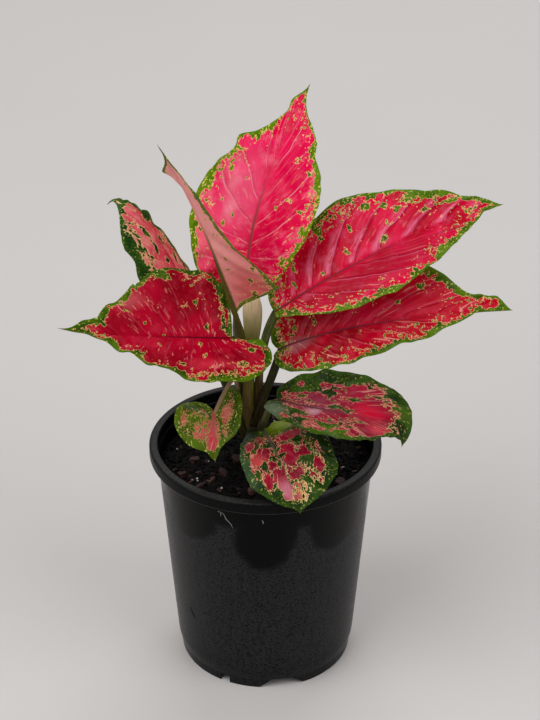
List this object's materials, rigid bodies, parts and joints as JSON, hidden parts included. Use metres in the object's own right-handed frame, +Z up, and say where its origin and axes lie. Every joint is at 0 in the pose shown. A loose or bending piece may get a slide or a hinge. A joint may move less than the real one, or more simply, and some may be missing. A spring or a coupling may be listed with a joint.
{
  "type": "potted chinese evergreen",
  "caption": "Leafy houseplant with broad pointed pink and green leaves on long stalks, standing in the soil of a tapered black nursery pot.",
  "frame": {"origin": "middle of the flat disc under the pot, which stands on the surface", "axes": "+Z up along the pot's axis; -Y is the front that the picture shows, +X is its right"},
  "size_m": [0.2602, 0.1464, 0.3552],
  "materials": {
    "pot": "satin",
    "soil": "matte",
    "cane": "satin",
    "leaf": "satin"
  },
  "bodies": {
    "root": {"pot": "pot", "soil": "soil", "cane": "cane", "leaf_top": "leaf", "leaf_new": "leaf", "leaf_back": "leaf", "leaf_left": "leaf", "leaf_right_upper": "leaf", "leaf_right_lower": "leaf", "leaf_right_low": "leaf", "leaf_front": "leaf", "leaf_small": "leaf"}
  },
  "joints": []
}
